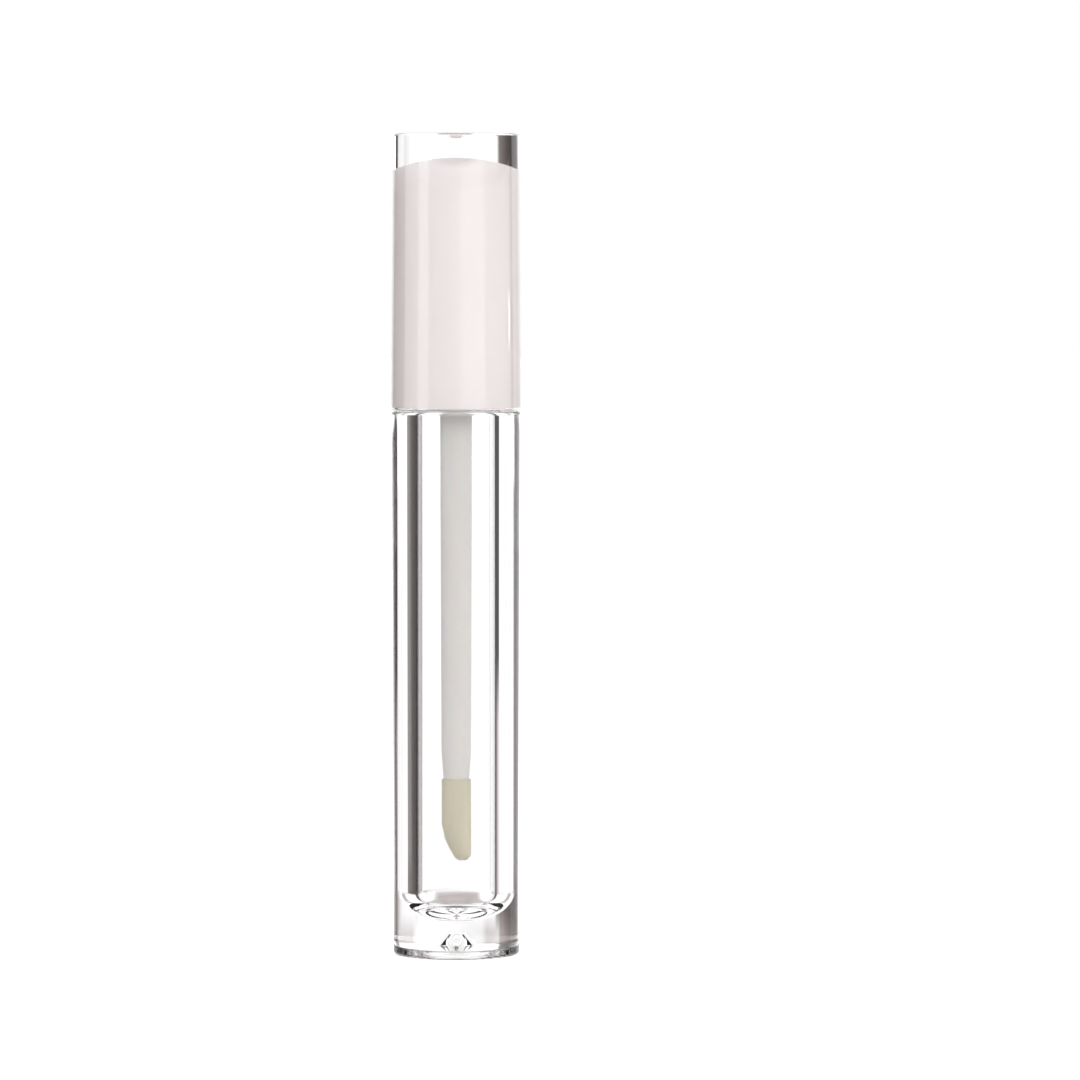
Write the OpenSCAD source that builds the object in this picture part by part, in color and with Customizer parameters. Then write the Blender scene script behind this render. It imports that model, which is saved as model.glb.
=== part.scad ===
// Lip gloss tube: a thick-walled clear bottle, its wiper, and a two-wall cap that holds the applicator wand.
// Z is up, the origin is the centre of the bottle's foot, and all lengths are in millimetres.
// Every piece is drawn where it sits when the tube is closed.

/* [Overall] */
// Height of the closed tube
overall_h = 121.5; // [112:0.5:130]
// Height of the bottle's shoulder, where the cap starts
shoulder_z = 80.5; // [77:0.5:84]

/* [Bottle] */
// Outside diameter at the shoulder
bottle_top_d = 19.2; // [19:0.1:19.3]
// Outside diameter at the foot; the wall has a moulding draft
bottle_foot_d = 18.6; // [18.2:0.1:19]
// Diameter of the gloss chamber and of the neck's bore
chamber_d = 11.5; // [11:0.1:11.5]
// Thickness of the clear base under the chamber
base_t = 5.3; // [4.5:0.1:7]
// Radius between the chamber's wall and its floor
floor_round = 4; // [2:0.2:5]
// Height of the sunk panel where it meets the foot's ring
panel_h = 1.2; // [0.3:0.1:1.2]
// Diameter of the gate recess in the panel
recess_d = 4.2; // [3:0.1:5]
// Depth of the gate recess above the panel
recess_depth = 1.7; // [1:0.1:2]

/* [Neck and screw thread] */
// Height of the neck above the shoulder
neck_h = 12.5; // [11.5:0.5:13.5]
// Outside diameter of the neck under its thread
neck_d = 13.2; // [13.1:0.1:13.4]
// Rise of the thread in one turn
thread_lead = 2.5; // [2.4:0.1:2.6]
// Turns of thread on the neck
neck_turns = 1.5; // [1:0.25:1.75]
// Turns of thread inside the cap
cap_turns = 1.25; // [1:0.25:1.5]

/* [Cap] */
// Outside diameter at the cap's rim
cap_rim_d = 19.3; // [19.2:0.1:19.6]
// Outside diameter at the cap's flat end
cap_top_d = 18.6; // [18.4:0.1:19]
// Wall of the clear outer shell
shell_wall = 0.95; // [0.9:0.05:1]
// Height of the dome on the white liner
dome_h = 5.4; // [3:0.1:6]
// Clear material above the middle of the dome
crown_t = 3.7; // [2.5:0.1:5]

/* [Wand] */
// Diameter of the stem where it leaves the cap
stem_root_d = 4.8; // [4.7:0.1:4.9]
// Diameter of the stem above its end taper
stem_end_d = 4.4; // [4.2:0.1:4.6]
// Length from the shoulder down to the tip of the applicator
wand_reach = 66.6; // [60:0.1:70]
// Length of the flocked applicator
foot_len = 12.2; // [11:0.1:14]
// Diameter of the flocked applicator
foot_d = 4.6; // [4.4:0.1:4.7]
// Thickness of the flocking on its core
flock_t = 0.35; // [0.25:0.05:0.5]

/* [Hidden] */
$fn = 96;

snug = 0.02;    // gap between two pieces that are pushed together
running = 0.05; // gap between two pieces that slide or turn on each other

// Bottle
neck_top_z = shoulder_z + neck_h;
chamber_r = chamber_d / 2;
neck_r = neck_d / 2;
foot_edge = 0.5;
foot_band_h = 12;       // height of the straight part of the wall, which a filling puck or a display hole holds
shoulder_edge = 0.5;
neck_edge = 0.3;
ring_w = 1.1;           // width of the foot's ring at the panel
panel_rise = 0.4;       // how much higher the panel is at the recess than at the ring
recess_top_r = 0.9;
gate_nub = [0.55, 0.6]; // radius and height of the moulding mark in the recess
groove_z = neck_top_z - 2.6;
groove_h = 1;
groove_depth = 0.3;

// Screw thread: trapezoid ridges, the cap's lying half a turn's rise under the neck's.
// The two crests pass each other with crest_gap, so that the cap can also be drawn straight off.
neck_ridge_r = 7;
crest_gap = 0.05;
ridge_root_w = 1.3;
ridge_crest_w = 0.6;
ridge_steps = 48;   // segments in one turn
ridge_fade = 0.12;  // share of a ridge over which each end runs out
ridge_sunk = 0.15;  // how far a ridge's root is buried in its wall
neck_ridge_z = shoulder_z + 2.2;
cap_ridge_start = 90; // degrees after the start of the neck's ridge

// Wiper
wiper_flange_t = 0.8;
wiper_flange_r = neck_r - 0.2;
wiper_bore_r = 4.95;
wiper_lip_z = neck_top_z - 8.3;
wiper_lip_h = 0.7;
wiper_cone_z = neck_top_z - 4.3;
wiper_wall = chamber_r - wiper_bore_r;
flange_z = neck_top_z + running;
stem_root_r = stem_root_d / 2;
wiper_lip_r = stem_root_r + running;

// Gasket
gasket_t = 0.8;
gasket_z = flange_z + wiper_flange_t + running;
gasket_in_r = stem_root_r + running;
gasket_out_r = 6.4;
unscrew_rise = thread_lead * 1.25; // the gasket's play on the stem, equal to the cap's rise as it unscrews

// Thread insert
insert_z = shoulder_z + 0.7;
web_z = gasket_z + gasket_t + running;
web_t = 1.4;
insert_root_r = 7.5;
insert_out_r = 8.1;
boss_r = 4.2;
boss_top_z = web_z + 8;
socket_r = stem_root_r + 0.25;
socket_top_z = web_z + 7;
snap_z = web_z + 4.6;
snap_h = 1;
snap_depth = 0.25;

// Liner and shell
shell_rim_z = shoulder_z + 0.15;
liner_rim_z = shoulder_z + 0.5;
liner_bore_r = insert_out_r + snug;
liner_rim_r = cap_rim_d / 2 - shell_wall - snug;
liner_top_r = cap_top_d / 2 - shell_wall - snug;
liner_crown_wall = 0.8;
dome_top_z = overall_h - crown_t - snug;
dome_edge_z = dome_top_z - dome_h;
liner_seat_z = boss_top_z + 1;
crown_edge = 0.45;
crown_recess_r = 1.2;
crown_recess_depth = 0.8;
rim_bevel = 0.25;

// Wand
keeper_r = stem_root_r + 0.25; // the bead that keeps the gasket on the stem
keeper_h = 0.8;
keeper_top_z = web_z - gasket_t - unscrew_rise - 3 * running;
stem_end_r = stem_end_d / 2;
tip_z = shoulder_z - wand_reach;
foot_top_z = tip_z + foot_len;
stem_taper_h = 4;
stem_mouth_r = stem_end_r - 0.3;
peg_r = 1.2;
peg_len = 6;
foot_r = foot_d / 2;
tip_r = 1.45;
tip_x = foot_r - tip_r;
tip_half_w = 0.6;
slant_h = 5.6;      // height of the slanted face above the tip
belly_r = 2.05;     // roundness half way down the slanted face
belly_h = 3.7;      // and its height above the tip

// Points of an arc about c from angle a0 to a1
function arc(c, r, a0, a1, n = 8) =
    [for (i = [0:n]) let (a = a0 + (a1 - a0) * i / n) c + r * [cos(a), sin(a)]];

// Points of a half ellipse, from its edge up to its top
function crown(edge_r, edge_z, h, n = 24) =
    [for (i = [0:n]) let (a = 90 * i / n) [edge_r * cos(a), edge_z + h * sin(a)]];

// The same points from the top down to the edge
function crown_down(edge_r, edge_z, h, n = 24) =
    [for (i = [n:-1:0]) let (a = 90 * i / n) [edge_r * cos(a), edge_z + h * sin(a)]];

// Points of a shallow round dish sunk into a face, from its edge down to its middle
function dish(edge_r, face_z, depth, n = 10) =
    let (ball = (edge_r * edge_r + depth * depth) / (2 * depth), sweep = asin(edge_r / ball))
    [for (i = [0:n]) let (a = sweep * (1 - i / n))
        [ball * sin(a), face_z - depth + ball * (1 - cos(a))]];

// How much of its full height a ridge has at share t of its length
function ridge_rise(t) = min(1, t / ridge_fade, (1 - t) / ridge_fade);

// One ring of a helical ridge: root below, root above, crest above, crest below
function ridge_ring(root_r, crest_r, turn, t) =
    let (a = turn * 360,
         z = thread_lead * turn,
         rise = max(0.02, ridge_rise(t)),
         top_r = root_r + (crest_r - root_r) * rise,
         top_w = ridge_root_w + (ridge_crest_w - ridge_root_w) * rise)
    [for (p = [[root_r, -ridge_root_w], [root_r, ridge_root_w], [top_r, top_w], [top_r, -top_w]])
        [p[0] * cos(a), p[0] * sin(a), z + p[1] / 2]];

// A right-hand helical ridge from root_r to crest_r, whose middle starts at height 0 on the +X side.
// A root_r above crest_r makes the ridge of a nut.
module helical_ridge(root_r, crest_r, turns) {
    steps = ceil(turns * ridge_steps);
    rings = [for (i = [0:steps]) ridge_ring(root_r, crest_r, turns * i / steps, i / steps)];
    outward = crest_r > root_r;
    sides = [for (i = [0:steps - 1], k = [0:3])
        let (a = 4 * i + k, b = 4 * i + (k + 1) % 4)
        each [[a, b, b + 4], [a, b + 4, a + 4]]];
    last = 4 * steps;
    ends = [[2, 1, 0], [3, 2, 0], [last, last + 1, last + 2], [last, last + 2, last + 3]];
    faces = concat(sides, ends);
    polyhedron([for (ring = rings) each ring],
               outward ? [for (f = faces) [f[2], f[1], f[0]]] : faces);
}

// The bottle: one clear moulding with a thick wall, a deep base and a threaded neck
module bottle() {
    wall_r = bottle_foot_d / 2;
    top_r = bottle_top_d / 2;
    recess_foot_z = panel_h + panel_rise;
    recess_z = recess_foot_z + recess_depth;
    nub_z = recess_z - gate_nub[1];
    color([0.88, 0.92, 0.93, 0.35]) union() {
        rotate_extrude() polygon(concat(
            [[0, nub_z], [gate_nub[0], nub_z], [gate_nub[0], recess_z],
             [recess_top_r, recess_z], [recess_d / 2, recess_foot_z],
             [wall_r - ring_w - foot_edge, panel_h], [wall_r - ring_w, 0]],
            arc([wall_r - foot_edge, foot_edge], foot_edge, -90, 0),
            [[wall_r, foot_band_h]],
            arc([top_r - shoulder_edge, shoulder_z - shoulder_edge], shoulder_edge, 0, 90),
            [[neck_r + 0.2, shoulder_z], [neck_r, shoulder_z + 0.2]],
            arc([neck_r - neck_edge, neck_top_z - neck_edge], neck_edge, 0, 90, 4),
            [[chamber_r + 0.2, neck_top_z], [chamber_r, neck_top_z - 0.2],
             [chamber_r, groove_z + groove_h / 2],
             [chamber_r + groove_depth, groove_z + groove_h / 4],
             [chamber_r + groove_depth, groove_z - groove_h / 4],
             [chamber_r, groove_z - groove_h / 2]],
            arc([chamber_r - floor_round, base_t + floor_round], floor_round, 0, -90, 12),
            [[0, base_t]]
        ));
        translate([0, 0, neck_ridge_z])
            helical_ridge(neck_r - ridge_sunk, neck_ridge_r, neck_turns);
    }
}

// The wiper: a soft plug in the neck, held by a bead in the neck's groove.
// Its cone ends in a lip round the stem.
module wiper() {
    lip_outer_r = wiper_lip_r + 0.5;
    plug_r = chamber_r - running;
    bead_r = chamber_r + groove_depth - running;
    color([0.94, 0.94, 0.92]) rotate_extrude() polygon([
        [wiper_lip_r, wiper_lip_z],
        [lip_outer_r, wiper_lip_z],
        [plug_r - 0.4, wiper_cone_z - wiper_wall - 0.5],
        [plug_r, wiper_cone_z - wiper_wall],
        [plug_r, groove_z - groove_h * 0.4],
        [bead_r, groove_z - groove_h * 0.15],
        [bead_r, groove_z + groove_h * 0.15],
        [plug_r, groove_z + groove_h * 0.4],
        [plug_r, flange_z],
        [wiper_flange_r, flange_z],
        [wiper_flange_r, flange_z + wiper_flange_t],
        [wiper_bore_r + 0.3, flange_z + wiper_flange_t],
        [wiper_bore_r, flange_z + wiper_flange_t - 0.3],
        [wiper_bore_r, wiper_cone_z],
        [wiper_lip_r, wiper_lip_z + wiper_lip_h]
    ]);
}

// The gasket: a flat washer between the cap's web and the wiper's flange
module gasket() {
    color([0.85, 0.85, 0.83]) translate([0, 0, gasket_z]) difference() {
        cylinder(h = gasket_t, r = gasket_out_r);
        translate([0, 0, -1]) cylinder(h = gasket_t + 2, r = gasket_in_r);
    }
}

// The thread insert: skirt with the cap's thread, web over the bottle's mouth, and socket for the wand
module thread_insert() {
    cap_ridge_z = neck_ridge_z - thread_lead / 2 + thread_lead * cap_ridge_start / 360;
    color([0.9, 0.89, 0.88]) union() {
        rotate_extrude() polygon([
            [insert_root_r + 0.3, insert_z],
            [insert_out_r, insert_z],
            [insert_out_r, web_z + web_t],
            [boss_r, web_z + web_t],
            [boss_r, boss_top_z - 0.4],
            [boss_r - 0.4, boss_top_z],
            [0, boss_top_z],
            [0, socket_top_z],
            [socket_r, socket_top_z],
            [socket_r, snap_z + snap_h / 2],
            [socket_r + snap_depth, snap_z + snap_h / 4],
            [socket_r + snap_depth, snap_z - snap_h / 4],
            [socket_r, snap_z - snap_h / 2],
            [socket_r, web_z + 0.2],
            [socket_r + 0.2, web_z],
            [insert_root_r, web_z],
            [insert_root_r, insert_z + 0.3]
        ]);
        translate([0, 0, cap_ridge_z]) rotate([0, 0, cap_ridge_start])
            helical_ridge(insert_root_r + ridge_sunk, neck_ridge_r + crest_gap, cap_turns);
    }
}

// The liner: a white sleeve with a domed end, pushed into the shell
module cap_liner() {
    inner_top_r = liner_top_r - (liner_rim_r - liner_bore_r);
    color([0.93, 0.89, 0.9]) rotate_extrude() polygon(concat(
        [[liner_bore_r + rim_bevel, liner_rim_z], [liner_rim_r, liner_rim_z]],
        crown(liner_top_r, dome_edge_z, dome_h),
        crown_down(inner_top_r, dome_edge_z, dome_h - liner_crown_wall),
        [[liner_bore_r, liner_seat_z], [liner_bore_r, liner_rim_z + rim_bevel]]
    ));
}

// The shell: the clear outer wall of the cap, solid above the liner's dome
module cap_shell() {
    rim_r = cap_rim_d / 2;
    top_r = cap_top_d / 2;
    color([0.9, 0.93, 0.94, 0.35]) rotate_extrude() polygon(concat(
        [[liner_rim_r + snug + 0.1, shell_rim_z], [rim_r - rim_bevel, shell_rim_z],
         [rim_r, shell_rim_z + rim_bevel]],
        arc([top_r - crown_edge, overall_h - crown_edge], crown_edge, 0, 90),
        dish(crown_recess_r, overall_h, crown_recess_depth),
        crown_down(liner_top_r + snug, dome_edge_z, dome_h + snug),
        [[liner_rim_r + snug, liner_rim_z]]
    ));
}

// The stem: snapped into the insert's socket, with a bead that keeps the gasket on it,
// and bored at its end for the applicator's peg
module wand_stem() {
    shank_r = socket_r - snug;
    shank_top_z = socket_top_z - snug;
    color([0.93, 0.91, 0.9]) rotate_extrude() polygon([
        [peg_r + snug, foot_top_z],
        [stem_mouth_r, foot_top_z],
        [stem_end_r, foot_top_z + stem_taper_h],
        [stem_root_r, keeper_top_z - keeper_h],
        [keeper_r, keeper_top_z - keeper_h * 0.3],
        [keeper_r, keeper_top_z - keeper_h * 0.2],
        [stem_root_r, keeper_top_z],
        [stem_root_r, web_z + 0.2],
        [shank_r, web_z + 0.4],
        [shank_r, snap_z - snap_h * 0.3],
        [shank_r + snap_depth * 0.8, snap_z],
        [shank_r, snap_z + snap_h * 0.3],
        [shank_r, shank_top_z - 0.5],
        [shank_r - 0.5, shank_top_z],
        [0, shank_top_z],
        [0, foot_top_z + peg_len + 0.3],
        [peg_r + snug, foot_top_z + peg_len + 0.3]
    ]);
}

// The slant-tipped foot of the applicator, drawn back from its outer surface by inset,
// and carried on above its top by extra
module foot(inset, extra = 0) {
    hull() {
        translate([0, 0, tip_z + slant_h])
            cylinder(h = foot_len - slant_h + extra, r = foot_r - inset, $fn = 48);
        translate([foot_r - belly_r, 0, tip_z + belly_h])
            sphere(r = belly_r - inset, $fn = 40);
        for (side = [-1, 1])
            translate([tip_x, side * tip_half_w, tip_z + tip_r])
                sphere(r = tip_r - inset, $fn = 32);
    }
}

// The core: the bendy paddle, with a peg that holds it in the stem
module applicator_core() {
    color([0.92, 0.9, 0.8]) union() {
        foot(flock_t + snug);
        translate([0, 0, foot_top_z - 1]) cylinder(h = peg_len + 1, r = peg_r);
    }
}

// The flocking: the layer of short fibres that covers the core
module applicator_flock() {
    color([0.95, 0.92, 0.8]) difference() {
        foot(0);
        foot(flock_t, 1);
    }
}

bottle();
wiper();
gasket();
thread_insert();
cap_liner();
cap_shell();
wand_stem();
applicator_core();
applicator_flock();
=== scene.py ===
import math
import random

import bmesh
import bpy
from mathutils import Matrix, Vector


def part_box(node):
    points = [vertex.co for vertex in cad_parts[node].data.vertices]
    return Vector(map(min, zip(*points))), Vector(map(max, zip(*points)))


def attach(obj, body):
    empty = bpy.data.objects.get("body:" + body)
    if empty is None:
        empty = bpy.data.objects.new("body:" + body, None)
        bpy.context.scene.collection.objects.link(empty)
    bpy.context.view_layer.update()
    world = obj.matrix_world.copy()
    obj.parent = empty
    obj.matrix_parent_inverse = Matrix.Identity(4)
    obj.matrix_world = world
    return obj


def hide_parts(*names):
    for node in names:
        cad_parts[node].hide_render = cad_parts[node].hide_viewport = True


# %% [markdown]
# # A lip gloss tube in clear plastic
# The tube is a stack of turned shapes: a thick clear bottle, a soft wiper in its neck, and a cap made of a
# white sleeve inside a clear shell, with a wand hanging from it. The CAD model holds every piece at its
# true size. Here each one is turned again on a finer lathe, because a clear wall with flats on it would
# bend light in steps.

# %% Load the CAD frame
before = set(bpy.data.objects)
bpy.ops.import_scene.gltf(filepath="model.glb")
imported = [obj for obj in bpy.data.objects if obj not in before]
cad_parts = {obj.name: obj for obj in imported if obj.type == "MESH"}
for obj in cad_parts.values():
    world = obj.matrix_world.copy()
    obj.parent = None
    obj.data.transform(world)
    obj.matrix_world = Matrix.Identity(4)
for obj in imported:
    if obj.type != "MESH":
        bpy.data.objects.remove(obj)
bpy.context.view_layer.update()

# %% [markdown]
# ## The view
# The tube is looked at from about eight tube heights away, with the eye just below the level of its cap's
# end. So the cap's end is nearly edge on and the foot is seen a little from above. It stands left of the
# frame's middle.

# %% Place the camera
MM = 0.001
EYE = Vector((12.4, -994, 110.2)) * MM
TILT_DOWN = math.radians(2.81)
LENS = 224.2

camera = bpy.data.objects.new("camera", bpy.data.cameras.new("camera"))
bpy.context.scene.collection.objects.link(camera)
camera.location = EYE
camera.rotation_euler = (math.pi / 2 - TILT_DOWN, 0, 0)
camera.data.lens = LENS
camera.data.sensor_width = 36
camera.data.clip_start = 0.01
bpy.context.scene.camera = camera
print("camera distance, mm:", round(EYE.length * 1000))

# %% [markdown]
# ## Light and floor
# Clear plastic shows nothing of its own. What is seen in it is the studio, so the studio is most of its
# look. A bright backdrop makes the wall look white, and dark flags beside the backdrop draw the dark lines
# down the edges of the bottle. Soft boxes in front leave the pale bands on the cap. A world shader holds
# all of them as a function of compass direction, which gives smooth soft light with little noise. Flags and
# boxes are kept from the camera's own sight, so that the backdrop stays plain from every side.

# %% Node helpers
def node(tree, kind, **values):
    """A new shader node with its settings and its inputs' values."""
    made = tree.nodes.new(kind)
    for name, value in values.items():
        if hasattr(made, name):
            setattr(made, name, value)
        else:
            made.inputs[name.replace("_", " ")].default_value = value
    return made


def wire(tree, *pairs):
    """Links between (output socket, input socket) pairs."""
    for out, into in pairs:
        tree.links.new(out, into)


# %% [markdown]
# ### The studio, row by row
# A flat light tent would make every clear edge vanish. So the studio is written as rows, one above the
# other, and each row says how bright it is in each compass direction. A row only matters to the walls that
# bend or mirror the sight line into it, so the cap, the bottle and the base can each have flags of their
# own.

# %% Rows of light and dark
# Each row is a list of (compass angle in degrees, brightness), with straight runs in between.
# 0 degrees is behind the tube and positive angles are to its right.
LEFT_BOXES = [(-153, 3.1), (-151, 3.0), (-131, 3.0), (-129, 5.0), (-111, 5.0), (-108, 3.0)]
RIGHT_BOXES = [(84, 2.4), (126, 2.8), (128, 4.4)]
LEFT_FRONT = [(-180, 3.2)] + LEFT_BOXES
RIGHT_FRONT = RIGHT_BOXES + [(170, 4.4), (172, 3.2)]
DIM_LEFT = [(-180, 0.4), (-107, 0.5)]
DIM_RIGHT = [(84, 0.8), (126, 0.9), (156, 0.4), (180, 0.4)]

# Over all the others: the broad light on the pieces that aren't clear.
HIGH = [
    (-180, 2.4), (-150, 2.0), (-100, 1.5), (-78, 1.1), (-75, 0.5), (-72, 0.04), (-50, 0.05), (-34, 0.15),
    (-31, 1.15), (54, 1.15), (58, 0.05), (74, 0.05), (78, 2.8), (165, 3.0), (180, 2.6),
]
# Round the cap: a backdrop with a flag on each side.
CAP_BACK = [
    (-80, 2.0), (-75, 0.8), (-72, 0.04), (-62, 0.03), (-48, 0.05), (-36, 0.11), (-32, 0.16), (-30, 1.1),
    (33, 1.1), (36, 0.88), (41, 0.88), (44, 1.1), (55, 1.1), (58, 0.1), (61, 0.05), (64, 0.05), (66, 1.3),
]
CAP = LEFT_FRONT + CAP_BACK + RIGHT_FRONT
# The same with a slim lamp, which leaves a short glint on the cap.
GLINT = LEFT_FRONT + CAP_BACK + [(67, 6.0), (71, 6.0), (72, 1.4)] + RIGHT_FRONT
# Just over the cap's row, where the clear end looks: a wider flag on the right, and CROWN is dim in front.
CAP_TOP = LEFT_FRONT + CAP_BACK[:-1] + [(72, 0.1), (104, 2.4)] + RIGHT_FRONT[1:]
CROWN = DIM_LEFT + CAP_BACK[:-1] + [(78, 0.1), (82, 0.4)] + DIM_RIGHT
# A dim gap straight in front. The bottle's outlines show it, after one mirroring inside the wall.
MIDDLE = [(-180, 0.4), (-157, 0.4), (-155, 3.1)] + LEFT_BOXES + CAP_BACK + RIGHT_BOXES + [
    (154, 4.4), (156, 0.4), (180, 0.4),
]
# Behind the bottle. The edges of the flags draw the walls of its chamber.
BOTTLE_LEFT = DIM_LEFT + [
    (-92, 0.15), (-89, 1.6), (-78, 1.7), (-75, 0.03), (-63, 0.03), (-56, 0.06), (-45, 0.14), (-30, 0.22),
    (-28, 1.15),
]
BOTTLE = BOTTLE_LEFT + [
    (25, 1.15), (27, 0.85), (29, 1.15), (40, 1.15), (42, 0.8), (44, 1.15), (53, 1.15), (56, 0.02),
    (80, 0.02),
] + DIM_RIGHT
LOW = BOTTLE_LEFT + [
    (25, 1.15), (28, 0.88), (31, 1.15), (50, 1.1), (58, 0.7), (61, 0.45), (66, 0.08), (71, 0.03),
    (80, 0.03),
] + DIM_RIGHT
BASE = DIM_LEFT + [
    (-75, 0.5), (-73, 0.04), (-55, 0.15), (-46, 0.26), (-39, 0.36), (-34, 0.4), (-32, 0.8), (-27, 0.72),
    (-21, 0.66), (-17, 0.92), (0, 1.0), (8, 1.1), (28, 1.1), (33, 0.78), (58, 0.8), (62, 0.3), (66, 0.04),
    (78, 0.03),
] + DIM_RIGHT
# Below the tube: five dark strips, which draw the clear walls when it is seen from above.
TABLE_WHITE = 1.2
TABLE_STRIPS = [(-144, 0.1), (-72, 0.1), (0, 0.5), (72, 0.1), (144, 0.1)]
TABLE = [(-180, TABLE_WHITE)] + [
    (middle + offset, bright) for middle, dark in TABLE_STRIPS
    for offset, bright in ((-13, TABLE_WHITE), (-9, dark), (9, dark), (13, TABLE_WHITE))
]
# (sine of the elevation under which a row takes over, half the width of the change, the row)
LEVELS = [
    (None, 0, HIGH), (0.045, 0.004, CROWN), (0.0245, 0.0006, CAP_TOP), (0.0172, 0.0006, CAP),
    (-0.0026, 0.001, GLINT), (-0.0105, 0.001, CAP), (-0.0145, 0.0006, MIDDLE), (-0.0252, 0.0008, BOTTLE),
    (-0.067, 0.005, LOW), (-0.102, 0.002, BASE), (-0.17, 0.03, TABLE),
]
BRIGHTEST = 6.0
OVERHEAD = (0.99, 0.98, 0.99)
OVERHEAD_FROM = 0.37
OVERHEAD_FULL = 0.49
print("studio stops at each level:", [len(row) for _, _, row in LEVELS])


# %% The studio as a function of direction
def flag_tone(bright):
    """A ramp colour: whites are neutral and the flags' greys are slightly warm."""
    shade = max(0, 1 - bright)
    return tuple(bright * share / BRIGHTEST for share in (1, 1 - 0.2 * shade, 1 - 0.22 * shade)) + (1,)


def studio_ramp(tree, stops_wanted):
    """One row of the studio as a colour ramp round the compass."""
    ramp = node(tree, "ShaderNodeValToRGB")
    ramp.color_ramp.interpolation = "LINEAR"
    stops = ramp.color_ramp.elements
    while len(stops) > 1:
        stops.remove(stops[-1])
    for index, (angle, bright) in enumerate(stops_wanted):
        stop = stops[0] if index == 0 else stops.new((angle + 180) / 360)
        stop.position = (angle + 180) / 360
        stop.color = flag_tone(bright)
    return ramp


def build_world():
    """The studio as a world shader: rows blended by height under a plain roof, and white to the camera."""
    world = bpy.data.worlds.new("studio")
    world.use_nodes = True
    bpy.context.scene.world = world
    tree = world.node_tree
    tree.nodes.clear()
    place = node(tree, "ShaderNodeTexCoord")
    axes = node(tree, "ShaderNodeSeparateXYZ")
    compass = node(tree, "ShaderNodeMath", operation="ARCTAN2")
    share = node(tree, "ShaderNodeMapRange")
    share.inputs["From Min"].default_value = -math.pi
    share.inputs["From Max"].default_value = math.pi
    band = None
    for limit, half_width, row in LEVELS:
        ramp = studio_ramp(tree, row)
        wire(tree, (share.outputs[0], ramp.inputs[0]))
        if limit is None:
            band = ramp.outputs["Color"]
            continue
        below = node(tree, "ShaderNodeMapRange")
        below.inputs["From Min"].default_value = limit + half_width
        below.inputs["From Max"].default_value = limit - half_width
        blend = node(tree, "ShaderNodeMix", data_type="RGBA")
        wire(tree, (axes.outputs["Z"], below.inputs["Value"]), (below.outputs[0], blend.inputs["Factor"]),
             (band, blend.inputs["A"]), (ramp.outputs["Color"], blend.inputs["B"]))
        band = blend.outputs["Result"]
    sky = node(tree, "ShaderNodeMapRange", interpolation_type="SMOOTHSTEP")
    sky.inputs["From Min"].default_value = OVERHEAD_FROM
    sky.inputs["From Max"].default_value = OVERHEAD_FULL
    overhead = node(tree, "ShaderNodeMix", data_type="RGBA")
    overhead.inputs["B"].default_value = tuple(part / BRIGHTEST for part in OVERHEAD) + (1,)
    studio = node(tree, "ShaderNodeBackground", Strength=BRIGHTEST)
    plain = node(tree, "ShaderNodeBackground", Color=(1, 1, 1, 1), Strength=1.0)
    path = node(tree, "ShaderNodeLightPath")
    choose = node(tree, "ShaderNodeMixShader")
    out = node(tree, "ShaderNodeOutputWorld")
    wire(tree,
         (place.outputs["Generated"], axes.inputs[0]),
         (axes.outputs["X"], compass.inputs[0]), (axes.outputs["Y"], compass.inputs[1]),
         (compass.outputs[0], share.inputs["Value"]),
         (axes.outputs["Z"], sky.inputs["Value"]),
         (sky.outputs[0], overhead.inputs["Factor"]), (band, overhead.inputs["A"]),
         (overhead.outputs["Result"], studio.inputs["Color"]),
         (path.outputs["Is Camera Ray"], choose.inputs[0]),
         (studio.outputs[0], choose.inputs[1]), (plain.outputs[0], choose.inputs[2]),
         (choose.outputs[0], out.inputs["Surface"]))
    world.cycles.sampling_method = "MANUAL"
    world.cycles.sample_map_resolution = 512
    return world


studio_world = build_world()
print("studio nodes:", len(studio_world.node_tree.nodes))

# %% Floor
FLOOR_REACH = 4
FLOOR_TONE = 0.85
FLOOR_GLOW = 0.42


def build_floor():
    """A plain pale floor for the tube's soft shadow. Only the camera sees it, so it is in no reflection."""
    shape = bmesh.new()
    bmesh.ops.create_grid(shape, x_segments=1, y_segments=1, size=FLOOR_REACH)
    mesh = bpy.data.meshes.new("floor")
    shape.to_mesh(mesh)
    shape.free()
    floor = bpy.data.objects.new("floor", mesh)
    bpy.context.scene.collection.objects.link(floor)
    paint = bpy.data.materials.new("floor_paint")
    paint.use_nodes = True
    shader = paint.node_tree.nodes["Principled BSDF"]
    shader.inputs["Base Color"].default_value = (FLOOR_TONE, FLOOR_TONE, FLOOR_TONE, 1)
    shader.inputs["Roughness"].default_value = 0.6
    shader.inputs["Specular IOR Level"].default_value = 0
    shader.inputs["Emission Color"].default_value = (1, 1, 1, 1)
    shader.inputs["Emission Strength"].default_value = FLOOR_GLOW
    mesh.materials.append(paint)
    floor.visible_glossy = False
    floor.visible_diffuse = False
    floor.visible_transmission = False
    return floor


floor = build_floor()
scene = bpy.context.scene
scene.view_settings.view_transform = "Standard"
scene.cycles.use_denoising = True
scene.cycles.max_bounces = 32
scene.cycles.transmission_bounces = 32
scene.cycles.glossy_bounces = 12
print("floor side, m:", round(floor.dimensions.x, 1))

# %% [markdown]
# ## A lathe
# Nearly every piece is round, so one helper turns them all. A profile is a short row of corners, each with
# its radius, its height and how much it is rounded. A bevel rounds the corners while the profile is still a
# wire, and a full spin turns it into a closed shell. The last vertex is welded to the first and the poles
# are welded, then the faces are turned outwards. A weighted-normal modifier keeps the flats flat beside the
# small rounded edges, which matters on a clear piece, where a bent normal is a bent view.

# %% The lathe
TURN = 2 * math.pi
BIG_ROUNDING = 2
MERGE = 1e-7


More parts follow.
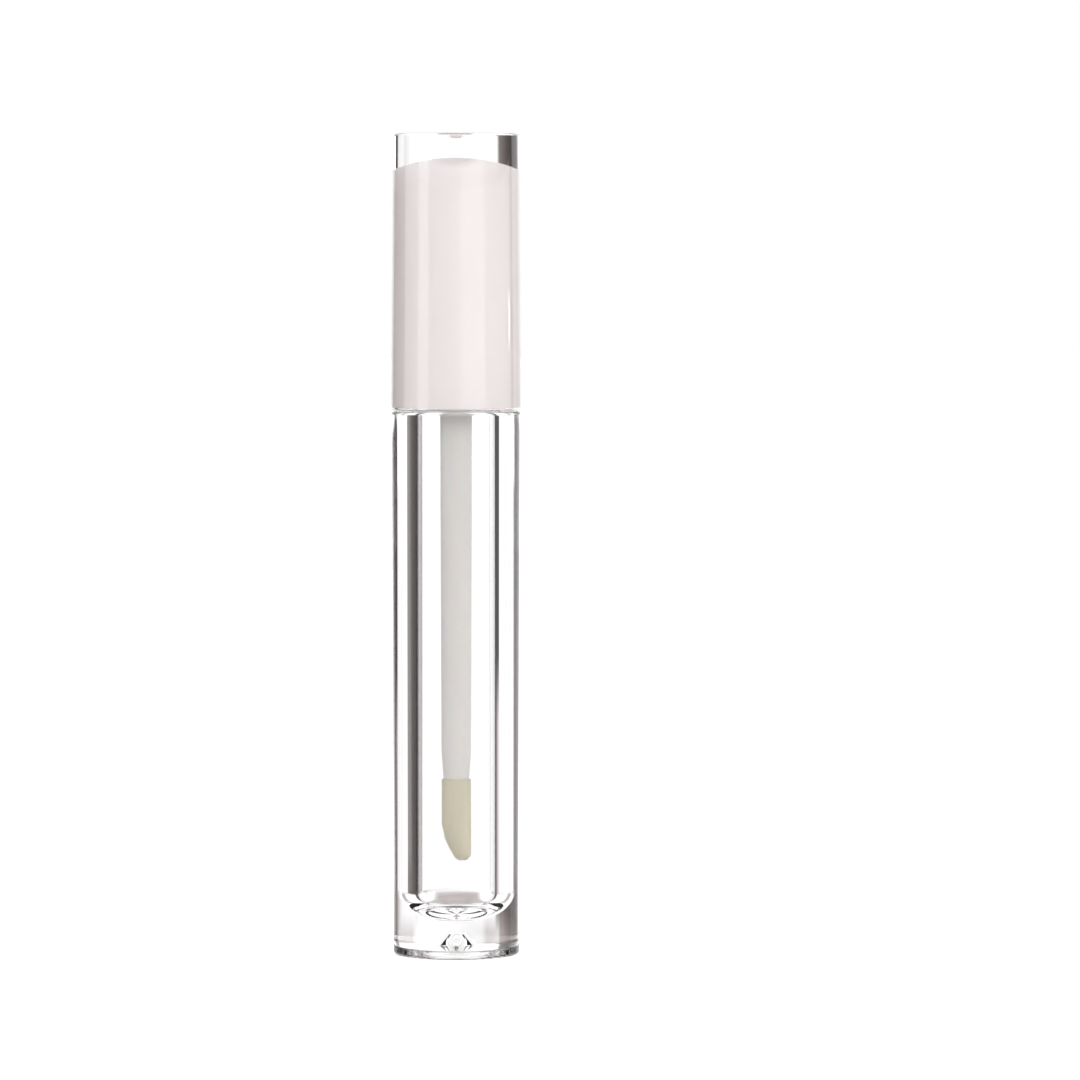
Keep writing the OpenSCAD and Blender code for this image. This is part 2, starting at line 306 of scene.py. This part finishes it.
def wire_profile(corners, closed):
    """A bmesh wire through (radius, height, rounding) corners, in mm, with its corners rounded."""
    shape = bmesh.new()
    points = [shape.verts.new((r * MM, 0, z * MM)) for r, z, _ in corners]
    for a, b in zip(points, points[1:]):
        shape.edges.new((a, b))
    if closed:
        shape.edges.new((points[-1], points[0]))
    for point, (_, _, rounding) in zip(points, corners):
        if rounding:
            steps = 12 if rounding > BIG_ROUNDING else 5
            bmesh.ops.bevel(shape, geom=[point], offset=rounding * MM, offset_type="OFFSET",
                            segments=steps, profile=0.5, affect="VERTICES", material=-1)
    return shape


def turned(corners, segments, closed=False):
    """A closed turned shell as a bmesh."""
    shape = wire_profile(corners, closed)
    bmesh.ops.spin(shape, geom=shape.verts[:] + shape.edges[:], cent=(0, 0, 0), axis=(0, 0, 1),
                   angle=TURN, steps=segments, use_merge=True)
    bmesh.ops.remove_doubles(shape, verts=shape.verts[:], dist=MERGE)
    bmesh.ops.recalc_face_normals(shape, faces=shape.faces[:])
    return shape


def piece(name, shape, body, stands_for, sharp=32):
    """Turns a bmesh into an object that rides on a body and stands for its CAD node."""
    mesh = bpy.data.meshes.new(name)
    shape.to_mesh(mesh)
    shape.free()
    mesh.shade_smooth()
    mesh.set_sharp_from_angle(angle=math.radians(sharp))
    made = bpy.data.objects.new(name, mesh)
    bpy.context.scene.collection.objects.link(made)
    made.modifiers.new("flat_flats", "WEIGHTED_NORMAL").keep_sharp = True
    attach(made, body)
    if stands_for:
        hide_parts(*stands_for)
    sides = [round(side / MM, 2) for side in made.dimensions]
    print(name, "faces:", len(mesh.polygons), "size, mm:", sides)
    return made


def mm_box(name):
    """The radius, foot and top of a round CAD node, in mm."""
    low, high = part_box(name)
    return high.x / MM, low.z / MM, high.z / MM


# %% [markdown]
# ## A screw thread
# A thread is a small outline that climbs as it turns, so the spin operator gets a rise for each step. A
# moulded thread fades into the wall at both ends, so its crest is drawn in there. The ridge is rooted just
# inside the wall, and a boolean union makes one closed solid of the two.

# %% A screw thread
RIDGE_ROOT_HALF = 0.65
RIDGE_CREST_HALF = 0.3
RIDGE_FADE = 0.12
RIDGE_LEAST = 0.02


def ridge(root_r, crest_r, start_z, lead, turns, start_angle=0.0, steps_a_turn=64):
    """A helical ridge that fades in and out, as a closed bmesh."""
    shape = bmesh.new()
    section = [
        (root_r, -RIDGE_ROOT_HALF), (crest_r, -RIDGE_CREST_HALF),
        (crest_r, RIDGE_CREST_HALF), (root_r, RIDGE_ROOT_HALF),
    ]
    points = [shape.verts.new((r * MM, 0, (start_z + z) * MM)) for r, z in section]
    for a, b in zip(points, points[1:] + points[:1]):
        shape.edges.new((a, b))
    steps = int(turns * steps_a_turn)
    bmesh.ops.spin(shape, geom=shape.verts[:] + shape.edges[:], cent=(0, 0, 0), axis=(0, 0, 1),
                   dvec=(0, 0, lead * turns / steps * MM), angle=TURN * turns, steps=steps)
    bmesh.ops.holes_fill(shape, edges=[e for e in shape.edges if e.is_boundary], sides=4)
    for point in shape.verts:
        along = (math.atan2(point.co.y, point.co.x) % TURN) / TURN
        climbed = (point.co.z / MM - start_z) / lead
        whole = round(climbed - along)
        share = (along + whole) / turns
        fade = max(RIDGE_LEAST, min(1, share / RIDGE_FADE, (1 - share) / RIDGE_FADE))
        radius = point.co.xy.length / MM
        if abs(radius - root_r) > 0.01:
            wanted = (root_r + (radius - root_r) * fade) / radius
            point.co.x *= wanted
            point.co.y *= wanted
    bmesh.ops.rotate(shape, verts=shape.verts[:], cent=(0, 0, 0),
                     matrix=Matrix.Rotation(start_angle, 3, "Z"))
    bmesh.ops.recalc_face_normals(shape, faces=shape.faces[:])
    return shape


def united(first, second):
    """One closed bmesh from two that overlap."""
    blanks = []
    for name, shape in (("whole", first), ("extra", second)):
        mesh = bpy.data.meshes.new(name)
        shape.to_mesh(mesh)
        shape.free()
        blank = bpy.data.objects.new(name, mesh)
        bpy.context.scene.collection.objects.link(blank)
        blanks.append(blank)
    weld = blanks[0].modifiers.new("weld", "BOOLEAN")
    weld.operation, weld.object, weld.solver = "UNION", blanks[1], "EXACT"
    ready = blanks[0].evaluated_get(bpy.context.evaluated_depsgraph_get())
    shape = bmesh.new()
    shape.from_mesh(ready.to_mesh())
    for blank in blanks:
        mesh = blank.data
        bpy.data.objects.remove(blank)
        bpy.data.meshes.remove(mesh)
    return shape


# %% Sizes shared by the pieces, from the CAD boxes
bottle_r, foot_z, neck_top = mm_box("bottle")
shell_r, shell_rim, cap_end = mm_box("cap_shell")
liner_r, liner_rim, dome_top = mm_box("cap_liner")
insert_r, insert_rim, boss_top = mm_box("thread_insert")
gasket_r, gasket_low, gasket_high = mm_box("gasket")
wiper_r, wiper_low, wiper_high = mm_box("wiper")
keeper_r, stem_low, stem_high = mm_box("wand_stem")
flock_r, tip_z, flock_top = mm_box("applicator_flock")
RIM_GAP = 0.15
RUNNING_GAP = 0.05
shoulder_z = shell_rim - RIM_GAP
web_z = gasket_high + RUNNING_GAP
print("shoulder at, mm:", round(shoulder_z, 2), "web at:", round(web_z, 2))

# %% [markdown]
# ## The bottle
# On the real object this is one injection moulding in clear plastic. Its wall is thick, so the chamber
# looks wider than it is. It stands on a narrow ring, and in the middle of the panel inside the ring is a
# cone-shaped recess where the plastic was fed in. The outside narrows slightly to the foot. It is turned as
# one closed profile, outside and chamber together, so that light bends at both walls.

# %% Turn the bottle
CHAMBER_R = 5.75
NECK_R = 6.6
LEAD = 2.5
THREAD_FOOT = 2.2
NECK_CREST_R = 7.0
PANEL_Z = 1.2
RECESS_Z = 1.6
RECESS_R = 2.1
RECESS_TOP_Z = 3.3
GATE_NUB_Z = 2.7
RING_IN = 1.1
PANEL_IN = 1.6
STRAIGHT_FOOT_Z = 12
FLOOR_Z = 5.3
FLOOR_ROUND = 4
SNAP_DEPTH = 0.3
foot_r = bottle_r - 0.3
underside = [
    (0, GATE_NUB_Z, 0), (0.55, GATE_NUB_Z, 0.1), (0.57, RECESS_TOP_Z, 0.05), (0.9, RECESS_TOP_Z, 0.1),
    (RECESS_R, RECESS_Z, 0.1), (foot_r - PANEL_IN, PANEL_Z, 0.3), (foot_r - RING_IN, foot_z, 0.12),
]
outside = [
    (foot_r, foot_z, 0.5), (foot_r, STRAIGHT_FOOT_Z, 0), (bottle_r, shoulder_z, 0.5),
    (NECK_R, shoulder_z, 0.25), (NECK_R, neck_top, 0.3),
]
chamber = [
    (CHAMBER_R, neck_top, 0.2), (CHAMBER_R, neck_top - 2.1, 0),
    (CHAMBER_R + SNAP_DEPTH, neck_top - 2.35, 0), (CHAMBER_R + SNAP_DEPTH, neck_top - 2.85, 0),
    (CHAMBER_R, neck_top - 3.1, 0),
    (CHAMBER_R, FLOOR_Z, FLOOR_ROUND), (0, FLOOR_Z, 0),
]
bottle_shape = turned(underside + outside + chamber, segments=192)
neck_thread = ridge(NECK_R - 0.15, NECK_CREST_R, shoulder_z + THREAD_FOOT, LEAD, 1.5)
bottle = piece("clear_bottle", united(bottle_shape, neck_thread), "bottle", ["bottle"])

# %% [markdown]
# ## The cap
# The clear shell is solid above the sleeve, and a shallow recess in its end is where it was fed. The white
# sleeve has a domed end. It touches the shell all over, so it is drawn a hair into the shell: light then
# goes straight from clear plastic to white, with no air between them, and the white fills the cap from edge
# to edge.

# %% Turn the shell and the sleeve
END_R = 9.3
DOME_H = 5.4
SHELL_INSET = 0.02
SLEEVE_PROUD = 0.04
wall = shell_r - liner_r
sleeve_top_r = END_R - wall
dome_edge = dome_top - DOME_H


def crown(edge_r, edge_z, rise, steps=28):
    """Corners of a half ellipse from its edge up to its middle."""
    turns = [math.pi / 2 * i / steps for i in range(steps + 1)]
    return [(edge_r * math.cos(turn), edge_z + rise * math.sin(turn), 0) for turn in turns]


def dish(edge_r, face_z, depth, steps=10):
    """Corners of a shallow round dish in a face, from its edge down to its middle."""
    ball = (edge_r ** 2 + depth ** 2) / (2 * depth)
    turns = [math.asin(edge_r / ball) * (1 - i / steps) for i in range(steps + 1)]
    return [(ball * math.sin(turn), face_z - depth + ball * (1 - math.cos(turn)), 0) for turn in turns]


shell = piece("clear_shell", turned(
    [(liner_r + SHELL_INSET, shell_rim, 0.08), (shell_r, shell_rim, 0.25), (END_R, cap_end, 0.45)]
    + dish(1.2, cap_end, 0.8)
    + crown(sleeve_top_r + SHELL_INSET, dome_edge, DOME_H + SHELL_INSET)[::-1]
    + [(liner_r + SHELL_INSET, liner_rim, 0)],
    closed=True, segments=192), "cap", ["cap_shell"])
sleeve = piece("white_sleeve", turned(
    [(insert_r + 0.02, liner_rim, 0.15), (liner_r + SLEEVE_PROUD, liner_rim, 0.1)]
    + crown(sleeve_top_r + SLEEVE_PROUD, dome_edge, DOME_H + SLEEVE_PROUD)
    + crown(sleeve_top_r - 0.56, dome_edge, DOME_H - 0.8)[::-1] + [(insert_r + 0.02, boss_top + 1, 0)],
    closed=True, segments=160), "cap", ["cap_liner"])

# %% [markdown]
# ## The thread insert
# Inside the sleeve is the piece that does the work: a skirt with the cap's thread, a web over the bottle's
# mouth and a socket that holds the wand. Its thread lies half a lead under the bottle's, and starts a
# quarter turn on.

# %% Turn the thread insert
SKIRT_R = 7.5
CAP_CREST_R = 7.05
WEB_T = 1.4
BOSS_R = 4.2
SOCKET_R = 2.65
insert_body = turned([
    (SKIRT_R, insert_rim, 0.2), (insert_r, insert_rim, 0.1), (insert_r, web_z + WEB_T, 0.2),
    (BOSS_R, web_z + WEB_T, 0.4), (BOSS_R, boss_top, 0.4), (0, boss_top, 0), (0, boss_top - 1, 0),
    (SOCKET_R, boss_top - 1, 0.1), (SOCKET_R, web_z, 0.2), (SKIRT_R, web_z, 0.4),
], closed=True, segments=128)
cap_thread_z = shoulder_z + THREAD_FOOT - LEAD / 2 + LEAD / 4
cap_thread = ridge(SKIRT_R + 0.15, CAP_CREST_R, cap_thread_z, LEAD, 1.25, math.pi / 2)
insert = piece("thread_insert_skirt", united(insert_body, cap_thread), "cap", ["thread_insert"])

# %% [markdown]
# ## The wiper and the gasket
# The wiper is a soft plug. Its cone narrows to a lip that scrapes the stem as it comes out. The gasket is a
# stamped washer that stays on the stem. Both are hidden while the tube is closed and show once the cap is
# lifted.

# %% Turn the wiper and the gasket
LIP_R = 2.45
PLUG_BORE_R = 4.95
FLANGE_T = 0.8
plug_r = CHAMBER_R - RUNNING_GAP
wiper = piece("wiper_plug", turned([
    (LIP_R, wiper_low, 0.15), (LIP_R + 0.5, wiper_low, 0.15), (plug_r - 0.4, neck_top - 5.6, 0.5),
    (plug_r, neck_top - 5.1, 0.3), (plug_r, neck_top - 3, 0), (plug_r + SNAP_DEPTH, neck_top - 2.75, 0.1),
    (plug_r + SNAP_DEPTH, neck_top - 2.45, 0.1), (plug_r, neck_top - 2.2, 0),
    (plug_r, wiper_high - FLANGE_T, 0.1), (wiper_r, wiper_high - FLANGE_T, 0.15), (wiper_r, wiper_high, 0.2),
    (PLUG_BORE_R, wiper_high, 0.3), (PLUG_BORE_R, neck_top - 4.3, 0.6), (LIP_R, wiper_low + 0.7, 0.15),
], closed=True, segments=128), "wiper", ["wiper"])
gasket = piece("gasket_washer", turned([
    (LIP_R, gasket_low, 0.06), (gasket_r, gasket_low, 0.12),
    (gasket_r, gasket_high, 0.08), (LIP_R, gasket_high, 0.06),
], closed=True, segments=96), "gasket", ["gasket"])

# %% [markdown]
# ## The wand
# The stem is moulded in milky plastic. It is a little thicker at the cap, and it draws in just above the
# applicator, where the applicator's peg goes up into it.

# %% Turn the stem
STEM_ROOT_R = 2.4
STEM_END_R = 2.2
STEM_MOUTH_R = STEM_END_R - 0.3
PLUG_R = 2.63
PEG_R = 1.22
PEG_LEN = 6.3
KEEPER_DROP = 4.075
keeper_top = web_z - KEEPER_DROP
stem = piece("wand_rod", turned([
    (PEG_R, stem_low, 0.05), (STEM_MOUTH_R, stem_low, 0.05), (STEM_END_R, stem_low + 4, 1.0),
    (STEM_ROOT_R, keeper_top - 0.8, 0.1), (keeper_r - 0.2, keeper_top - 0.2, 0.15),
    (STEM_ROOT_R, keeper_top, 0.05), (STEM_ROOT_R, web_z + 0.2, 0.1), (PLUG_R, web_z + 0.4, 0.05),
    (PLUG_R, stem_high, 0.4), (0, stem_high, 0),
    (0, stem_low + PEG_LEN, 0), (PEG_R, stem_low + PEG_LEN, 0.1),
], closed=True, segments=128), "cap", ["wand_stem"])

# %% [markdown]
# ## The applicator
# A doe-foot applicator is a soft paddle with a slanted face, covered in flocking: fibres a third of a
# millimetre long, shot end-on into glue, so that they stand up like pile. The skin is the hull of a round
# top and a narrow rounded tip, remeshed to an even net and smoothed. It stands for the dense lower part of
# the pile. Then thin fibres are planted on several thousand points of the net, each leaning its own way.

# %% Shape the foot
TIP_R = 1.45
TIP_X = 0.85
TIP_HALF_W = 0.6
SLANT_H = 5.6
BELLY_R = 2.05
BELLY_H = 3.7
CORE_INSET = 0.37
CORE_NET = 0.15
FELT_INSET = 0.14
FELT_NET = 0.14


def foot_hull(inset):
    """The slant-tipped foot as a bmesh hull, drawn in by inset mm."""
    shape = bmesh.new()
    for z in (tip_z + SLANT_H, flock_top):
        bmesh.ops.create_circle(shape, cap_ends=False, segments=64, radius=(flock_r - inset) * MM,
                                matrix=Matrix.Translation((0, 0, z * MM)))
    balls = [
        (TIP_X, -TIP_HALF_W, TIP_R, TIP_R), (TIP_X, TIP_HALF_W, TIP_R, TIP_R),
        (flock_r - BELLY_R, 0, BELLY_H, BELLY_R),
    ]
    for x, y, z, ball_r in balls:
        bmesh.ops.create_uvsphere(shape, u_segments=48, v_segments=32, radius=(ball_r - inset) * MM,
                                  matrix=Matrix.Translation(Vector((x, y, tip_z + z)) * MM))
    made = bmesh.ops.convex_hull(shape, input=shape.verts[:])
    left_over = made["geom_interior"] + made["geom_unused"]
    loose = [item for item in left_over if isinstance(item, bmesh.types.BMVert)]
    bmesh.ops.delete(shape, geom=list(set(loose)), context="VERTS")
    return shape


def evened(shape, net):
    """The same solid with an even net of faces net mm wide, slightly smoothed."""
    mesh = bpy.data.meshes.new("rough")
    shape.to_mesh(mesh)
    shape.free()
    blank = bpy.data.objects.new("rough", mesh)
    bpy.context.scene.collection.objects.link(blank)
    remesh = blank.modifiers.new("even", "REMESH")
    remesh.mode, remesh.voxel_size = "VOXEL", net * MM
    soften = blank.modifiers.new("soften", "SMOOTH")
    soften.factor, soften.iterations = 0.5, 3
    ready = blank.evaluated_get(bpy.context.evaluated_depsgraph_get())
    even = bmesh.new()
    even.from_mesh(ready.to_mesh())
    bpy.data.objects.remove(blank)
    bpy.data.meshes.remove(mesh)
    return even


core = piece("paddle", evened(foot_hull(CORE_INSET), CORE_NET), "cap", ["applicator_core"])
felt_shape = evened(foot_hull(FELT_INSET), FELT_NET)
print("felt faces:", len(felt_shape.faces))

# %% Plant the fibres
FIBRES = 9000
FIBRE_R = 0.017
FIBRE_ROOT = 0.04
FIBRE_SHORT = 0.1
FIBRE_LONG = 0.19
FIBRE_LEAN = 0.28
FIBRE_SCATTER = 0.06
dice = random.Random(7)


def planted(felt, count):
    """Adds thin three-sided fibres that stand on the felt and lean at random."""
    felt.faces.ensure_lookup_table()
    ground = [f for f in felt.faces
              if not (f.normal.z > 0.7 and f.calc_center_median().z / MM > flock_top - 0.3)]
    picked = [dice.choice(ground) for _ in range(count)]
    roots = [(f.calc_center_median(), f.normal.copy()) for f in picked]
    for spot, out in roots:
        spot = spot + Vector([dice.uniform(-FIBRE_SCATTER, FIBRE_SCATTER) * MM for _ in range(3)])
        lean = Vector([dice.gauss(0, FIBRE_LEAN) for _ in range(3)])
        along = (out + lean).normalized()
        length = dice.uniform(FIBRE_SHORT, FIBRE_LONG) * MM
        tip = spot + along * length
        if tip.z > flock_top * MM or tip.xy.length > flock_r * MM or tip.z < tip_z * MM:
            continue
        side = along.orthogonal().normalized() * FIBRE_R * MM
        third = Matrix.Rotation(TURN / 3, 3, along)
        base = spot - out * FIBRE_ROOT * MM
        ring = [felt.verts.new(base + side), felt.verts.new(base + third @ side),
                felt.verts.new(base + third @ third @ side)]
        top = felt.verts.new(tip)
        for a, b in ((0, 1), (1, 2), (2, 0)):
            felt.faces.new((ring[a], ring[b], top))
    return felt


flock = piece("flocked_foot", planted(felt_shape, FIBRES), "cap", ["applicator_flock"],
              sharp=180)

# %% [markdown]
# ## Finishes
# Each finish is built from shader nodes. Two groups are shared: one draws hair-fine scratches and the
# smears of handling, and the other the faint unevenness of moulded plastic.

# %% Shared groups
def new_group(name, inputs, outputs):
    """An empty node group with its named sockets, and its two end nodes."""
    group = bpy.data.node_groups.new(name, "ShaderNodeTree")
    for label, kind, value in inputs:
        made = group.interface.new_socket(name=label, in_out="INPUT", socket_type=kind)
        if value is not None:
            made.default_value = value
    for label, kind in outputs:
        group.interface.new_socket(name=label, in_out="OUTPUT", socket_type=kind)
    return group, node(group, "NodeGroupInput"), node(group, "NodeGroupOutput")


def handling_marks():
    """Mask of hair-fine scratches and soft smears, from the piece's own coordinates."""
    group, given, gives = new_group(
        "handling_marks",
        [("Vector", "NodeSocketVector", None), ("Scratches", "NodeSocketFloat", 0.5),
         ("Smears", "NodeSocketFloat", 0.5)],
        [("Mask", "NodeSocketFloat")])
    lanes = []
    for angle, scale in ((0.5, 260.0), (-0.9, 310.0)):
        lay = node(group, "ShaderNodeMapping")
        lay.inputs["Rotation"].default_value = (angle, 0.3, angle)
        lay.inputs["Scale"].default_value = (1, 1, 14)
        grain = node(group, "ShaderNodeTexNoise", Scale=scale, Detail=1.0)
        thin = node(group, "ShaderNodeMapRange")
        thin.inputs["From Min"].default_value = 0.715
        thin.inputs["From Max"].default_value = 0.76
        wire(group, (given.outputs["Vector"], lay.inputs["Vector"]),
             (lay.outputs[0], grain.inputs["Vector"]), (grain.outputs[0], thin.inputs["Value"]))
        lanes.append(thin)
    both = node(group, "ShaderNodeMath", operation="MAXIMUM")
    scratched = node(group, "ShaderNodeMath", operation="MULTIPLY")
    cloud = node(group, "ShaderNodeTexNoise", Scale=90.0, Detail=4.0, Distortion=1.2)
    soft = node(group, "ShaderNodeMapRange", interpolation_type="SMOOTHSTEP")
    soft.inputs["From Min"].default_value = 0.48
    soft.inputs["From Max"].default_value = 0.75
    smeared = node(group, "ShaderNodeMath", operation="MULTIPLY")
    total = node(group, "ShaderNodeMath", operation="ADD", use_clamp=True)
    wire(group,
         (lanes[0].outputs[0], both.inputs[0]), (lanes[1].outputs[0], both.inputs[1]),
         (both.outputs[0], scratched.inputs[0]), (given.outputs["Scratches"], scratched.inputs[1]),
         (given.outputs["Vector"], cloud.inputs["Vector"]), (cloud.outputs[0], soft.inputs["Value"]),
         (soft.outputs[0], smeared.inputs[0]), (given.outputs["Smears"], smeared.inputs[1]),
         (scratched.outputs[0], total.inputs[0]), (smeared.outputs[0], total.inputs[1]),
         (total.outputs[0], gives.inputs["Mask"]))
    return group


def mould_flow():
    """Height and tone of moulded plastic: long faint streaks with a finer grain over them."""
    group, given, gives = new_group(
        "mould_flow",
        [("Vector", "NodeSocketVector", None), ("Streak Scale", "NodeSocketFloat", 300.0),
         ("Grain Scale", "NodeSocketFloat", 4000.0), ("Grain Share", "NodeSocketFloat", 0.3)],
        [("Height", "NodeSocketFloat"), ("Tone", "NodeSocketFloat")])
    stretch = node(group, "ShaderNodeMapping")
    stretch.inputs["Scale"].default_value = (1, 1, 0.06)
    streak = node(group, "ShaderNodeTexNoise", Detail=2.0)
    grain = node(group, "ShaderNodeTexNoise", Detail=2.0)
    blend = node(group, "ShaderNodeMix", data_type="FLOAT")
    wire(group,
         (given.outputs["Vector"], stretch.inputs["Vector"]), (stretch.outputs[0], streak.inputs["Vector"]),
         (given.outputs["Streak Scale"], streak.inputs["Scale"]),
         (given.outputs["Vector"], grain.inputs["Vector"]),
         (given.outputs["Grain Scale"], grain.inputs["Scale"]),
         (streak.outputs[0], blend.inputs["A"]), (grain.outputs[0], blend.inputs["B"]),
         (given.outputs["Grain Share"], blend.inputs["Factor"]),
         (blend.outputs["Result"], gives.inputs["Height"]), (streak.outputs[0], gives.inputs["Tone"]))
    return group


MARKS, FLOW = handling_marks(), mould_flow()
print("shared groups:", MARKS.name, FLOW.name)

# %% A finish in one call
def finish(name, base, second, rough, rough_marked, relief, streak=300.0, grain=4000.0, grain_share=0.3,
           scratches=0.5, smears=0.5, relief_depth=0.01, **plain):
    """A Principled finish whose tone follows the mould flow and whose gloss follows the handling marks."""
    made = bpy.data.materials.new(name)
    made.use_nodes = True
    tree = made.node_tree
    shader = tree.nodes["Principled BSDF"]
    place = node(tree, "ShaderNodeTexCoord")
    flow = node(tree, "ShaderNodeGroup", node_tree=FLOW)
    flow.inputs["Streak Scale"].default_value = streak
    flow.inputs["Grain Scale"].default_value = grain
    flow.inputs["Grain Share"].default_value = grain_share
    marks = node(tree, "ShaderNodeGroup", node_tree=MARKS)
    marks.inputs["Scratches"].default_value = scratches
    marks.inputs["Smears"].default_value = smears
    tone = node(tree, "ShaderNodeMix", data_type="RGBA")
    tone.inputs["A"].default_value = (*base, 1)
    tone.inputs["B"].default_value = (*second, 1)
    gloss = node(tree, "ShaderNodeMapRange")
    gloss.inputs["To Min"].default_value = rough
    gloss.inputs["To Max"].default_value = rough_marked
    bump = node(tree, "ShaderNodeBump", Strength=relief)
    bump.inputs["Distance"].default_value = relief_depth * MM
    wire(tree,
         (place.outputs["Object"], flow.inputs["Vector"]), (place.outputs["Object"], marks.inputs["Vector"]),
         (flow.outputs["Tone"], tone.inputs["Factor"]),
         (tone.outputs["Result"], shader.inputs["Base Color"]),
         (marks.outputs["Mask"], gloss.inputs["Value"]), (gloss.outputs[0], shader.inputs["Roughness"]),
         (flow.outputs["Height"], bump.inputs["Height"]), (bump.outputs[0], shader.inputs["Normal"]))
    for label, value in plain.items():
        shader.inputs[label.replace("_", " ")].default_value = value
    return made


def wear(target, made):
    """Gives a piece its one material."""
    target.data.materials.clear()
    target.data.materials.append(made)


# %% [markdown]
# ## Clear plastic
# The bottle and the shell are polished, with an index near 1.5. Real ones are never quite perfect: there
# are faint flow lines along the wall, and hair-fine scratches from handling.

# %% Clear finishes
clear_bottle = finish("clear_bottle_plastic", (0.994, 0.997, 0.997), (0.997, 0.999, 0.999), 0.0, 0.05, 0.02,
                      streak=260.0, grain=900.0, grain_share=0.15, scratches=0.5, smears=0.12,
                      relief_depth=0.004, Transmission_Weight=1.0, IOR=1.51)
clear_shell = finish("clear_shell_plastic", (0.994, 0.994, 0.994), (0.997, 0.998, 0.998), 0.0, 0.05, 0.02,
                     streak=240.0, grain=900.0, grain_share=0.15, scratches=0.5, smears=0.12,
                     relief_depth=0.004, Transmission_Weight=1.0, IOR=1.5)
wear(bottle, clear_bottle)
wear(shell, clear_shell)

# %% [markdown]
# ## White and milky plastic
# The sleeve is a faintly warm white, matt where it faces the clear shell. The stem is milky: light goes a
# short way into it, so it gets a little subsurface scattering. The flocking has a sheen, as all short
# fibres have.

# %% White and milky finishes
white = finish("white_sleeve_plastic", (0.95, 0.875, 0.868), (0.96, 0.89, 0.883), 0.45, 0.6, 0.1,
               streak=120.0)
satin = finish("white_insert_plastic", (0.87, 0.81, 0.805), (0.89, 0.835, 0.83), 0.32, 0.5, 0.12)
milky = finish("milky_rod_plastic", (0.83, 0.812, 0.788), (0.85, 0.832, 0.81), 0.28, 0.42, 0.2, streak=420.0,
               Subsurface_Weight=0.35, Subsurface_Scale=0.8 * MM, IOR=1.49, Specular_IOR_Level=0.2)
soft = finish("soft_wiper_plastic", (0.86, 0.86, 0.85), (0.9, 0.9, 0.89), 0.4, 0.55, 0.2,
              Subsurface_Weight=0.3, Subsurface_Scale=0.6 * MM)
foam = finish("gasket_foam", (0.83, 0.83, 0.82), (0.88, 0.88, 0.87), 0.8, 0.9, 0.9, grain=9000.0,
              grain_share=0.9, relief_depth=0.03, scratches=0.0, smears=0.3)
core_rubber = finish("paddle_elastomer", (0.66, 0.61, 0.45), (0.7, 0.65, 0.5), 0.5, 0.6, 0.2)
fibre = finish("flock_fibre", (0.7, 0.65, 0.49), (0.75, 0.705, 0.555), 0.85, 0.95, 0.6, streak=900.0,
               grain=7000.0, grain_share=0.8, relief_depth=0.03, scratches=0.0, smears=0.4,
               Sheen_Weight=0.35, Sheen_Roughness=0.5)
for target, made in ((sleeve, white), (insert, satin), (stem, milky), (wiper, soft), (gasket, foam),
                     (core, core_rubber), (flock, fibre)):
    wear(target, made)
print("finishes:", len(bpy.data.materials))
